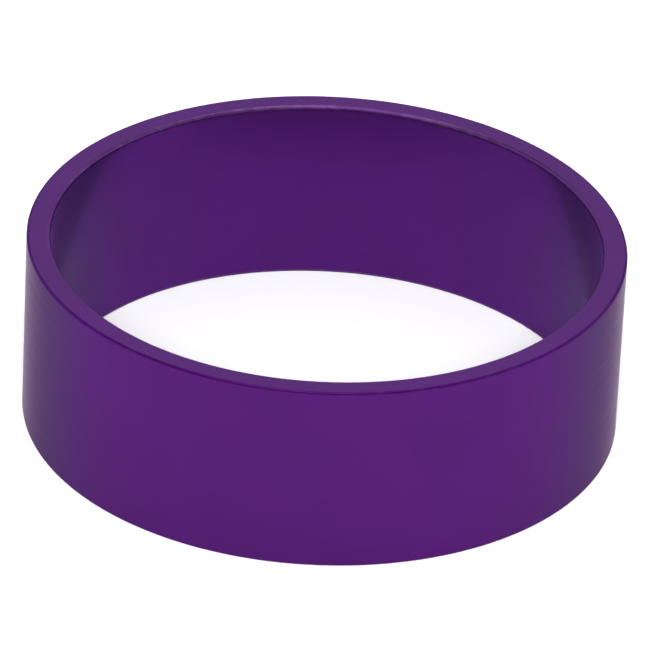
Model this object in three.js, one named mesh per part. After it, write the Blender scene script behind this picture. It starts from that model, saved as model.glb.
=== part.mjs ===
// A plain ring: a short length of round aluminium tube, parted off and faced square at both ends,
// its four edges lightly broken, then dyed and anodised. It is one piece of metal.
//
// Millimetres, +Z up. The origin is the centre of the lower end, on the surface that the ring stands on.
import * as THREE from "three";

// Driving dimensions
const OUTER_DIAMETER = 76.2; // 3 inch tube
const WALL = 3.048; // 0.120 inch
const HEIGHT = 25;
const OUTER_EDGE_RADIUS = 0.3; // rounding where an end meets the outside
const INNER_EDGE_RADIUS = 0.5; // rounding where an end meets the bore

// How finely the round shapes are cut
const STEPS_AROUND = 144;
const STEPS_PER_EDGE = 4;

const PURPLE = 0x591d73;

const outerRadius = OUTER_DIAMETER / 2;
const boreRadius = outerRadius - WALL;

// A rounding may take up to this share of the wall or of half the height, so both ends keep a flat face.
const MOST_OF_FACE = 0.45;
const largestEdge = MOST_OF_FACE * Math.min(WALL, HEIGHT / 2);
const outerEdge = Math.min(OUTER_EDGE_RADIUS, largestEdge);
const innerEdge = Math.min(INNER_EDGE_RADIUS, largestEdge);

// The wall's section in the plane of radius and height, drawn counterclockwise: up the outside,
// in over the top end, down the bore and out under the lower end.
function wallSection() {
  const quarter = Math.PI / 2;
  const section = new THREE.Path();
  const roundEdge = (radius, height, edge, start) => {
    section.absarc(radius, height, edge, start, start + quarter, false);
  };
  roundEdge(outerRadius - outerEdge, outerEdge, outerEdge, -quarter);
  roundEdge(outerRadius - outerEdge, HEIGHT - outerEdge, outerEdge, 0);
  roundEdge(boreRadius + innerEdge, HEIGHT - innerEdge, innerEdge, quarter);
  roundEdge(boreRadius + innerEdge, innerEdge, innerEdge, 2 * quarter);
  section.closePath();
  return section.getPoints(STEPS_PER_EDGE / 2); // an arc is cut into twice as many steps as asked
}

// The section turned about the ring's axis, which a lathe geometry lays along +Y, and stood up along +Z.
function ringBand() {
  const geometry = new THREE.LatheGeometry(wallSection(), STEPS_AROUND);
  geometry.rotateX(Math.PI / 2);
  const anodised = new THREE.MeshStandardMaterial({
    color: PURPLE,
    metalness: 0.9,
    roughness: 0.4,
  });
  const mesh = new THREE.Mesh(geometry, anodised);
  mesh.name = "ring_band";
  return mesh;
}

const ring = new THREE.Group();
ring.add(ringBand());

export default ring;
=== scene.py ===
"""A plain purple ring, cut from aluminium tube and anodised, standing on a pale studio floor.

Everything is in metres in the part's own frame: +Z along the ring's axis, the origin at the centre of its
lower end. The ring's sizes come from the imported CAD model, and the visible ring is turned again from them at
a finer step, with the tool marks and the dyed finishes that the CAD solid leaves out.
"""

import math

import bmesh
import bpy
from bpy.props import FloatProperty, FloatVectorProperty, IntProperty, PointerProperty
from mathutils import Matrix, Vector, noise


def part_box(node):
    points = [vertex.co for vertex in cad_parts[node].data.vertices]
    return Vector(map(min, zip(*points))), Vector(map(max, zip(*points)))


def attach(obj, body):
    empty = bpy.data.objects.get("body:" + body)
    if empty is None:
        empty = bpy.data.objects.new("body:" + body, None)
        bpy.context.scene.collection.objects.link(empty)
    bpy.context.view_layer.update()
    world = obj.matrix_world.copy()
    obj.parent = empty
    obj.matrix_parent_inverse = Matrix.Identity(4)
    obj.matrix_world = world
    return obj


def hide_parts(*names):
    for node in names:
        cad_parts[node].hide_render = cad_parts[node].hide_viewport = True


bl_info = {
    "name": "Anodised Ring",
    "version": (1, 0, 0),
    "blender": (4, 5, 0),
    "location": "3D View > Sidebar > Ring",
    "description": "Turns a purple anodised aluminium ring and sets it on a pale stage",
    "category": "Add Mesh",
}

MM = 0.001
NODE = "ring_band"

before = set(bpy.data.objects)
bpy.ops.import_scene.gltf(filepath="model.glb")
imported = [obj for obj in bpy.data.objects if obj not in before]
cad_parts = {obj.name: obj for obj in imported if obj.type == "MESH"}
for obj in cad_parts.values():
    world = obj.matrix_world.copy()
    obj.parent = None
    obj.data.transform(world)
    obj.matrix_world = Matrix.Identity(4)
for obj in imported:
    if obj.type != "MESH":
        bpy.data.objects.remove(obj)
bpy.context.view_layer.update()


# ---------------------------------------------------------------- sizes, from the CAD ring

LEVEL = 0.001 * MM  # a vertex this close to the top lies on the flat end


def measured_ring():
    """The CAD ring's outer radius, bore radius, height and two edge radii, from its vertices."""
    low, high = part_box(NODE)
    corners = [(math.hypot(v.co.x, v.co.y), v.co.z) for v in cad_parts[NODE].data.vertices]
    outer = max(radius for radius, _ in corners)
    bore = min(radius for radius, _ in corners)
    flat = [radius for radius, z in corners if high.z - z < LEVEL]
    return outer, bore, high.z - low.z, outer - max(flat), min(flat) - bore


OUTER_RADIUS, BORE_RADIUS, HEIGHT, OUTER_EDGE, BORE_EDGE = measured_ring()


# ---------------------------------------------------------------- colours


def linear(code):
    """The linear colour of an sRGB hex code, such as #5a2a78."""
    shares = [int(code[i : i + 2], 16) / 255 for i in (1, 3, 5)]
    return tuple(s / 12.92 if s <= 0.04045 else ((s + 0.055) / 1.055) ** 2.4 for s in shares)


WALL_DYE = linear("#4a0566")
BORE_DYE = linear("#42085f")
END_DYE = linear("#4f076d")
THIN_DYE = linear("#502468")  # the bore's corner, where the film is thin and takes less dye
GRAZING_TINT = linear("#a592a0")  # the metal's own whitening, held back by the dye
HAZE = linear("#bc7cff")  # violet bloom of a sealed film
WORN_METAL = linear("#a07cb0")
FLOOR_WHITE = linear("#f4f4f5")
WHITE = (1.0, 1.0, 1.0)


# ---------------------------------------------------------------- settings


def length(name, description, default):
    """A length property in metres, shown to a thousandth of a millimetre."""
    return FloatProperty(name=name, description=description, default=default, unit="LENGTH", precision=6)


def colour(name, description, default):
    """A colour property, in linear values."""
    return FloatVectorProperty(
        name=name, description=description, default=default, subtype="COLOR", min=0.0, max=1.0
    )


def brightness(name, description, default, unit="NONE"):
    """A light's strength, which can't be negative."""
    return FloatProperty(name=name, description=description, default=default, min=0.0, unit=unit)


class RingSettings(bpy.types.PropertyGroup):
    """Sizes and colours of the ring"""

    outer_radius: length("Outer radius", "Radius of the outside", OUTER_RADIUS)
    bore_radius: length("Bore radius", "Radius of the hole", BORE_RADIUS)
    height: length("Height", "From one faced end to the other", HEIGHT)
    outer_edge: length("Outer edge", "Radius of the broken edge outside", OUTER_EDGE)
    bore_edge: length("Bore edge", "Radius of the broken edge at the bore", BORE_EDGE)
    facing_pitch: length("Facing pitch", "Spacing of the spiral left on the ends", 0.36 * MM)
    facing_depth: length("Facing depth", "Depth of the spiral left on the ends", 0.004 * MM)
    drawn_depth: length("Drawn depth", "Depth of the long waves in the tube's walls", 0.008 * MM)
    steps_around: IntProperty(name="Steps around", description="Facets in a full turn", default=360, min=24)
    wall_dye: colour("Wall dye", "Colour of the dyed outside", WALL_DYE)
    bore_dye: colour("Bore dye", "Colour of the dyed bore", BORE_DYE)
    # The outer edges take the end dye darkened, as painted shade, so that they show as a dark line.
    end_dye: colour("End dye", "Colour of the dyed ends, and of the outer edges, which are darker", END_DYE)
    thin_dye: colour("Thin dye", "Colour of the bore's edges, which take less dye", THIN_DYE)


class StageSettings(bpy.types.PropertyGroup):
    """Floor and light"""

    floor_colour: colour("Floor", "Colour of the matt floor", FLOOR_WHITE)
    key: brightness("Key", "Strength of the key light on the floor", 4.3)
    softbox: brightness("Softbox", "Power of the panel overhead", 13.6, unit="POWER")
    back_wall: brightness("Back wall", "Brightness of the pale walls behind and beside", 1.2)
    front_wall: brightness("Front wall", "Brightness of the room in front", 0.7)
    ceiling: brightness("Ceiling", "Brightness of the dim ceiling", 0.5)


# ---------------------------------------------------------------- shader nodes


def add_node(tree, kind, settings=None, inputs=None):
    """One shader node with its settings; an input given as a socket is linked, any other is set."""
    node = tree.nodes.new(kind)
    for name, value in (settings or {}).items():
        setattr(node, name, value)
    for name, value in (inputs or {}).items():
        if isinstance(value, bpy.types.NodeSocket):
            tree.links.new(value, node.inputs[name])
        else:
            node.inputs[name].default_value = value
    return node


def empty_tree(owner):
    """The node tree of a material or world, with nothing in it."""
    owner.use_nodes = True
    owner.node_tree.nodes.clear()
    return owner.node_tree


def remap(tree, value, low, high, to_low, to_high):
    """The value's range low..high carried smoothly to to_low..to_high, held at the ends."""
    node = add_node(
        tree,
        "ShaderNodeMapRange",
        {"interpolation_type": "SMOOTHSTEP"},
        {"Value": value, "From Min": low, "From Max": high, "To Min": to_low, "To Max": to_high},
    )
    return node.outputs["Result"]


FACTOR, FIRST, SECOND, MIXED = 0, 6, 7, 2  # a mix node's sockets for colours, which share their names


def mix_colour(tree, share, first, second):
    """The first colour, with the second mixed in by share; a colour is a socket or three numbers."""
    sides = [side if isinstance(side, bpy.types.NodeSocket) else (*side, 1.0) for side in (first, second)]
    inputs = {FACTOR: share, FIRST: sides[0], SECOND: sides[1]}
    return add_node(tree, "ShaderNodeMix", {"data_type": "RGBA"}, inputs).outputs[MIXED]


def scaled(rgb, factor):
    """The colour made lighter or darker, and never more than white."""
    return tuple(min(1.0, channel * factor) for channel in rgb)


# ---------------------------------------------------------------- the anodised finishes

MARK_LENGTH = 40 * MM  # a cut mark fades in and out over this much of a turn
CLOUD_SIZE = 14 * MM  # patches where the film took a little more or less dye
PATCH_SIZE = 22 * MM  # stretches of an edge that were handled more
GRAIN_SIZE = 1.1 * MM  # the rubbed specks within them
UPTAKE = 0.06  # share by which the dye varies from patch to patch
STREAK = 0.12  # how far a cut mark shows as a paler line
STREAK_TONE = 1.35  # the colour of that line, against the dye
PAINTED_EDGE_SHADE = 0.74  # painted shade: the outer edge's colour, darkened against the ends so that it shows as a dark line

FULL_SWING = (0.3, 0.7)  # nearly all of a noise pattern lies between these, round a half
MARK_SWING = (0.42, 0.58)  # narrower, so that most of a surface is either on a cut mark or between two
RUBBED = (0.24, 0.42)  # the product of two patterns, from where rubbing starts to where it is complete

FILM_IOR = 1.5  # sealed anodic film, near that of glass
FILM_ROUGHNESS = 0.3
BLOOM_ROUGHNESS = 0.5
ACROSS_CUT = 0.25  # a quarter turn, so that reflections spread across the cut's lines and not along them


def cut_marks(tree, spacing, on_end):
    """Noise drawn out along the cut, round the wall or in circles on an end, in lines spacing apart."""
    where = add_node(tree, "ShaderNodeTexCoord").outputs["Object"]
    axes = add_node(tree, "ShaderNodeSeparateXYZ", inputs={"Vector": where})
    across = axes.outputs["Z"]
    if on_end:
        flat = add_node(tree, "ShaderNodeVectorMath", {"operation": "MULTIPLY"}, {0: where, 1: (1, 1, 0)})
        radius = add_node(tree, "ShaderNodeVectorMath", {"operation": "LENGTH"}, {0: flat.outputs["Vector"]})
        across = radius.outputs["Value"]
    steps = ((axes.outputs["X"], MARK_LENGTH), (axes.outputs["Y"], MARK_LENGTH), (across, spacing))
    x, y, lines = (
        add_node(tree, "ShaderNodeMath", {"operation": "DIVIDE"}, {0: place, 1: step}).outputs[0]
        for place, step in steps
    )
    place = add_node(tree, "ShaderNodeCombineXYZ", inputs={"X": x, "Y": y, "Z": lines}).outputs[0]
    look = {"Vector": place, "Scale": 1.0, "Detail": 4.0, "Roughness": 0.6}
    return add_node(tree, "ShaderNodeTexNoise", inputs=look).outputs["Fac"]


def patches(tree, size, detail):
    """Soft patches of about one size, as a value round a half; more detail breaks up their outlines."""
    where = add_node(tree, "ShaderNodeTexCoord").outputs["Object"]
    look = {"Vector": where, "Scale": 1 / size, "Detail": detail}
    return add_node(tree, "ShaderNodeTexNoise", inputs=look).outputs["Fac"]


def dyed(tree, dye, marks, worn):
    """The dye's colour: patchy where it took unevenly, paler along cut marks, rubbed thin in specks."""
    uptake = remap(tree, patches(tree, CLOUD_SIZE, 3.0), *FULL_SWING, 0.0, 1.0)
    tone = mix_colour(tree, uptake, scaled(dye, 1 - UPTAKE), scaled(dye, 1 + UPTAKE))
    streaks = remap(tree, marks, *FULL_SWING, 0.0, STREAK)
    tone = mix_colour(tree, streaks, tone, scaled(dye, STREAK_TONE))
    if not worn:
        return tone
    grain, stretches = patches(tree, GRAIN_SIZE, 5.0), patches(tree, PATCH_SIZE, 2.0)
    specks = add_node(tree, "ShaderNodeMath", {"operation": "MULTIPLY"}, {0: grain, 1: stretches})
    return mix_colour(tree, remap(tree, specks.outputs[0], *RUBBED, 0.0, worn), tone, WORN_METAL)


def anodised(name, dye, finish, marks, spread=0.0, worn=0.0, coat=0.25, sheen=0.05, metallic=1.0):
    """Dyed and sealed anodic film on aluminium, over the marks of one cut.

    The metal shows through the dye as a deep, saturated purple. The sealed film adds a thin uncoloured
    gloss that whitens towards grazing angles. The finish is the roughness between cut marks and on them.
    Marks are their spacing, their depth and whether they lie on an end. Spread is how far they fan out the
    metal's gloss across themselves, worn is how far specks of the film are rubbed away, and coat and sheen
    are the strength of the film's gloss and of its violet bloom.
    """
    material = bpy.data.materials.new(name)
    tree = empty_tree(material)
    spacing, depth, on_end = marks
    lines = cut_marks(tree, spacing, on_end)
    relief = add_node(tree, "ShaderNodeBump", inputs={"Strength": 1.0, "Distance": depth, "Height": lines})
    circles = add_node(tree, "ShaderNodeTangent", {"direction_type": "RADIAL", "axis": "Z"})
    metal = add_node(
        tree,
        "ShaderNodeBsdfPrincipled",
        inputs={
            "Base Color": dyed(tree, dye, lines, worn),
            "Metallic": metallic,
            "Specular IOR Level": 0.0,
            "Specular Tint": (*GRAZING_TINT, 1.0),
            "Roughness": remap(tree, lines, *MARK_SWING, *finish),
            "Normal": relief.outputs["Normal"],
            "Tangent": circles.outputs["Tangent"],
            "Anisotropic": spread,
            "Anisotropic Rotation": ACROSS_CUT,
            "Sheen Weight": sheen,
            "Sheen Roughness": BLOOM_ROUGHNESS,
            "Sheen Tint": (*HAZE, 1.0),
            "Coat Weight": coat,
            "Coat Roughness": FILM_ROUGHNESS,
            "Coat IOR": FILM_IOR,
        },
    )
    add_node(tree, "ShaderNodeOutputMaterial", inputs={"Surface": metal.outputs["BSDF"]})
    return material


def ring_materials(ring):
    """A finish for each region of the ring, in the order of the regions' numbers."""
    # A real finishing pass leaves lines 0.1 mm apart. These are two or three times coarser, so that they
    # show. Each cut gives its lines' spacing, their depth, and whether they run in circles on an end.
    skimmed = (0.30 * MM, 0.0003 * MM, False)
    bored = (0.25 * MM, 0.0006 * MM, False)
    faced = (0.22 * MM, 0.0018 * MM, True)
    wall_dye, bore_dye, end_dye, thin_dye = (
        tuple(dye) for dye in (ring.wall_dye, ring.bore_dye, ring.end_dye, ring.thin_dye)
    )
    return [
        # Drawn tube, skimmed and etched: satin, deep purple face on and grey-lilac where it turns away.
        anodised("drawn_anodised_aluminium", wall_dye, (0.32, 0.37), skimmed, spread=0.4, sheen=0.02),
        # Faced on a lathe: a slightly brighter, greyer flat with faint circles.
        anodised("faced_anodised_aluminium", end_dye, (0.28, 0.42), faced, spread=0.1, coat=0.3),
        # Bored smooth: glossier, so it mirrors the floor and the opposite wall. Slightly less metallic and
        # with more bloom than the rest, which keeps its dark parts from going black.
        anodised(
            "bored_anodised_aluminium",
            bore_dye,
            (0.11, 0.15),
            bored,
            spread=0.2,
            sheen=0.085,
            metallic=0.75,
        ),
        # Sharp corner just broken: a thin dark line between the flat end and the outside. The line is partly
        # the dim ceiling mirrored in the edge and partly painted shade in its darkened colour.
        anodised(
            "broken_edge_anodised_painted_shade",
            scaled(end_dye, PAINTED_EDGE_SHADE),
            (0.30, 0.42),
            faced,
            worn=0.05,
            coat=0.1,
        ),
        # Rounder corner, thinly dyed: a soft pale line where it catches the light overhead.
        anodised("thin_edge_anodised_aluminium", thin_dye, (0.26, 0.34), faced, worn=0.12),
    ]


# ---------------------------------------------------------------- the ring's section

OUTSIDE, END, BORE, OUTER_BROKEN, BORE_BROKEN = range(5)
QUARTER = math.pi / 2
EDGE_STEPS = 10
WALL_STEPS = 60
END_STEPS = 40
FACING_RUN_OUT = 0.2 * MM  # the facing spiral fades in from each edge of the end over this much
WAVE_RUN_OUT = 2 * MM  # and the walls' waves over this much
WAVES_AROUND = 1.5  # waves in a radius of arc, which makes each about 25 mm long
WAVE_HEIGHT = 4.5 * MM


def rounded_edge(radius, height, edge, start, region):
    """Section points of a quarter-round edge about its centre, counterclockwise from the angle start."""
    for step in range(EDGE_STEPS + 1):
        angle = start + QUARTER * step / EDGE_STEPS
        yield radius + edge * math.cos(angle), height + edge * math.sin(angle), region


def straight(start, end, steps, region):
    """Section points between two corners, leaving out the corners themselves."""
    for step in range(1, steps):
        share = step / steps
        yield start[0] + (end[0] - start[0]) * share, start[1] + (end[1] - start[1]) * share, region


def ring_section(ring):
    """The wall's closed section, counterclockwise from the foot of the outside: radius, height, region."""
    outer, bore, height = ring.outer_radius, ring.bore_radius, ring.height
    outer_edge, bore_edge = ring.outer_edge, ring.bore_edge
    if outer - bore <= outer_edge + bore_edge or height <= 2 * max(outer_edge, bore_edge):
        raise ValueError("the ring's wall is too thin or too low for its broken edges")
    rim, lip = outer - outer_edge, bore + bore_edge  # where the flat ends stop
    section = list(rounded_edge(rim, outer_edge, outer_edge, -QUARTER, OUTER_BROKEN))
    section += straight((outer, outer_edge), (outer, height - outer_edge), WALL_STEPS, OUTSIDE)
    section += rounded_edge(rim, height - outer_edge, outer_edge, 0, OUTER_BROKEN)
    section += straight((rim, height), (lip, height), END_STEPS, END)
    section += rounded_edge(lip, height - bore_edge, bore_edge, QUARTER, BORE_BROKEN)
    section += straight((bore, height - bore_edge), (bore, bore_edge), WALL_STEPS, BORE)
    section += rounded_edge(lip, bore_edge, bore_edge, 2 * QUARTER, BORE_BROKEN)
    section += straight((lip, 0), (rim, 0), END_STEPS, END)
    return section


def cut_back(ring, radius, z, region, angle):
    """How far the surface lies inside the nominal one, never proud of it: the spiral or the waves."""
    if region == END:
        phase = 2 * math.pi * radius / ring.facing_pitch - angle
        to_bore = radius - ring.bore_radius - ring.bore_edge
        to_outside = ring.outer_radius - ring.outer_edge - radius
        fade = min(1.0, max(0.0, min(to_bore, to_outside) / FACING_RUN_OUT))
        return ring.facing_depth * fade * (0.5 + 0.5 * math.cos(phase))
    if region in (OUTSIDE, BORE):
        x, y = math.cos(angle) * WAVES_AROUND, math.sin(angle) * WAVES_AROUND
        fade = min(1.0, min(z, ring.height - z) / WAVE_RUN_OUT)
        # The region's number moves the place in the noise, so that the two walls' waves differ.
        wave = noise.noise(Vector((x, y, z / WAVE_HEIGHT + region)))
        return ring.drawn_depth * fade * (0.5 + 0.5 * wave)
    return 0.0


def turned_mesh(name, ring, materials):
    """The section turned about Z, with its tool marks, and a material for each region."""
    section = ring_section(ring)
    form = bmesh.new()
    columns = []
    for step in range(ring.steps_around):
        angle = 2 * math.pi * step / ring.steps_around
        column = []
        for radius, z, region in section:
            depth = cut_back(ring, radius, z, region, angle)
            if region == END:
                z += depth if z < ring.height / 2 else -depth
            elif region == OUTSIDE:
                radius -= depth
            elif region == BORE:
                radius += depth
            column.append(form.verts.new((radius * math.cos(angle), radius * math.sin(angle), z)))
        columns.append(column)
    for step, here in enumerate(columns):
        there = columns[(step + 1) % ring.steps_around]
        for k in range(len(section)):
            after = (k + 1) % len(section)
            face = form.faces.new((here[k], there[k], there[after], here[after]))
            face.smooth = True
            # A flat region reaches to the first point of the edge beside it.
            face.material_index = min(section[k][2], section[after][2])
    mesh = bpy.data.meshes.new(name)
    form.to_mesh(mesh)
    form.free()
    for material in materials:
        mesh.materials.append(material)
    return mesh


# ---------------------------------------------------------------- the stage

FLOOR_RADIUS = 12.0
FLOOR_SIDES = 96
FLOOR_GAP = 0.01 * MM  # keeps the floor's face off the ring's lower end

LENS = 423.0  # a camera's own lengths are in millimetres
SENSOR = 36.0
ELEVATION = math.radians(30.233)
ROLL = math.radians(2.80)
DISTANCE = 974.06 * MM
OFF_CENTRE = (0.229 * MM, -0.076 * MM)  # how far the camera aims right of the ring's centre, and above it
NEAREST, FURTHEST = 0.01, 100.0  # the camera sees what lies between these

KEY_AT = (180, 36, 2.0)  # azimuth and elevation in degrees, and distance
KEY_SPREAD = math.radians(16)
SOFTBOX_AT = (195, 84, 1.4)
SOFTBOX_SIZE = (1.2, 2.4)
FRONT_TURN = (-0.75, -0.1)  # the room's front gives way to its sides over this much of a direction's Y
CEILING_TURN = (0.5, 0.8)  # and its walls to the ceiling over this much of Z


def white_floor(scene, stage):
    """A round sheet of matt white board, wide enough to fill every view."""
    form = bmesh.new()
    bmesh.ops.create_circle(form, cap_ends=True, segments=FLOOR_SIDES, radius=FLOOR_RADIUS)
    mesh = bpy.data.meshes.new("floor")
    form.to_mesh(mesh)
    form.free()
    # White board, uncoated: it scatters light evenly and mirrors next to nothing.
    material = bpy.data.materials.new("matt_white_board")
    tree = empty_tree(material)
    matt = add_node(
        tree,
        "ShaderNodeBsdfPrincipled",
        inputs={"Base Color": (*stage.floor_colour, 1.0), "Roughness": 0.9, "Specular IOR Level": 0.1},
    )
    add_node(tree, "ShaderNodeOutputMaterial", inputs={"Surface": matt.outputs["BSDF"]})
    mesh.materials.append(material)
    floor = bpy.data.objects.new("floor", mesh)
    floor.location.z = -FLOOR_GAP
    scene.collection.objects.link(floor)
    return floor


def studio_room(scene, stage):
    """Pale walls behind and beside the stage, a dimmer room in front and a dim ceiling."""
    world = bpy.data.worlds.new("studio")
    room = empty_tree(world)
    where = add_node(room, "ShaderNodeTexCoord")
    axes = add_node(room, "ShaderNodeSeparateXYZ", inputs={"Vector": where.outputs["Generated"]})
    walls = remap(room, axes.outputs["Y"], *FRONT_TURN, stage.front_wall, stage.back_wall)
    glow = remap(room, axes.outputs["Z"], *CEILING_TURN, walls, stage.ceiling)
    sky = add_node(room, "ShaderNodeBackground", inputs={"Color": (*WHITE, 1.0), "Strength": glow})
    add_node(room, "ShaderNodeOutputWorld", inputs={"Surface": sky.outputs["Background"]})
    scene.world = world


def from_angles(azimuth, elevation, distance):
    """A place at an azimuth from +Y towards +X and at an elevation, both in degrees."""
    a, e = math.radians(azimuth), math.radians(elevation)
    return Vector((math.sin(a) * math.cos(e), math.cos(a) * math.cos(e), math.sin(e))) * distance


def add_light(scene, name, kind, energy, place, **settings):
    """A light aimed at the ring."""
    data = bpy.data.lights.new(name, kind)
    data.energy = energy
    for key, value in settings.items():
        setattr(data, key, value)
    light = bpy.data.objects.new(name, data)
    light.location = place
    light.rotation_mode = "QUATERNION"
    light.rotation_quaternion = (-place).to_track_quat("-Z", "Y")
    scene.collection.objects.link(light)
    return light


def studio_lights(scene, stage):
    """A key light that whitens the floor, and a panel overhead that only glints in the metal."""
    key = add_light(scene, "key", "SUN", stage.key, from_angles(*KEY_AT), angle=KEY_SPREAD)
    key.visible_glossy = False
    wide, deep = SOFTBOX_SIZE
    shape = {"shape": "RECTANGLE", "size": wide, "size_y": deep}
    softbox = add_light(scene, "softbox", "AREA", stage.softbox, from_angles(*SOFTBOX_AT), **shape)
    softbox.visible_diffuse = False


def add_camera(scene):
    """The camera, in front of the ring and above it, turned a little about its own line of sight."""
    centre = Vector((0.0, 0.0, HEIGHT / 2))
    forward = Vector((0.0, math.cos(ELEVATION), -math.sin(ELEVATION)))
    turn = forward.to_track_quat("-Z", "Y").to_matrix() @ Matrix.Rotation(ROLL, 3, "Z")
    aim = centre + turn @ Vector((*OFF_CENTRE, 0.0))
    data = bpy.data.cameras.new("camera")
    data.sensor_width = SENSOR
    data.lens = LENS
    data.clip_start, data.clip_end = NEAREST, FURTHEST
    camera = bpy.data.objects.new("camera", data)
    camera.matrix_world = Matrix.Translation(aim - forward * DISTANCE) @ turn.to_4x4()
    scene.collection.objects.link(camera)
    scene.camera = camera


# ---------------------------------------------------------------- operators and panel


class RING_OT_band(bpy.types.Operator):
    """Turn the ring, dye it and put it in the CAD ring's place"""

    bl_idname = "ring.band"
    bl_label = "Ring band"

    def execute(self, context):
        ring = context.scene.ring
        band = bpy.data.objects.new("ring", turned_mesh("ring", ring, ring_materials(ring)))
        context.scene.collection.objects.link(band)
        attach(band, "root")
        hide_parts(NODE)
        return {"FINISHED"}


class RING_OT_stage(bpy.types.Operator):
    """Lay the floor, light it and set the camera"""

    bl_idname = "ring.stage"
    bl_label = "Stage"

    def execute(self, context):
        scene, stage = context.scene, context.scene.ring_stage
        white_floor(scene, stage)
        studio_room(scene, stage)
        studio_lights(scene, stage)
        add_camera(scene)
        scene.view_settings.view_transform = "Standard"
        return {"FINISHED"}


class RING_PT_panel(bpy.types.Panel):
    """Lists the settings of the ring and its stage, and what makes them"""

    bl_idname = "RING_PT_panel"
    bl_label = "Anodised ring"
    bl_space_type = "VIEW_3D"
    bl_region_type = "UI"
    bl_category = "Ring"

    def draw(self, context):
        scene = context.scene
        for group, operator in ((scene.ring, RING_OT_band), (scene.ring_stage, RING_OT_stage)):
            for name in type(group).__annotations__:
                self.layout.prop(group, name)
            self.layout.operator(operator.bl_idname)


CLASSES = (RingSettings, StageSettings, RING_OT_band, RING_OT_stage, RING_PT_panel)


def register():
    """Make the classes known and give each scene its settings."""
    for made in CLASSES:
        bpy.utils.register_class(made)
    bpy.types.Scene.ring = PointerProperty(type=RingSettings)
    bpy.types.Scene.ring_stage = PointerProperty(type=StageSettings)


def unregister():
    """Take back what register did, in the opposite order."""
    del bpy.types.Scene.ring_stage
    del bpy.types.Scene.ring
    for made in reversed(CLASSES):
        bpy.utils.unregister_class(made)


def main():
    """Set the stage and make the ring."""
    register()
    bpy.ops.ring.stage()
    bpy.ops.ring.band()


if __name__ == "__main__":
    main()
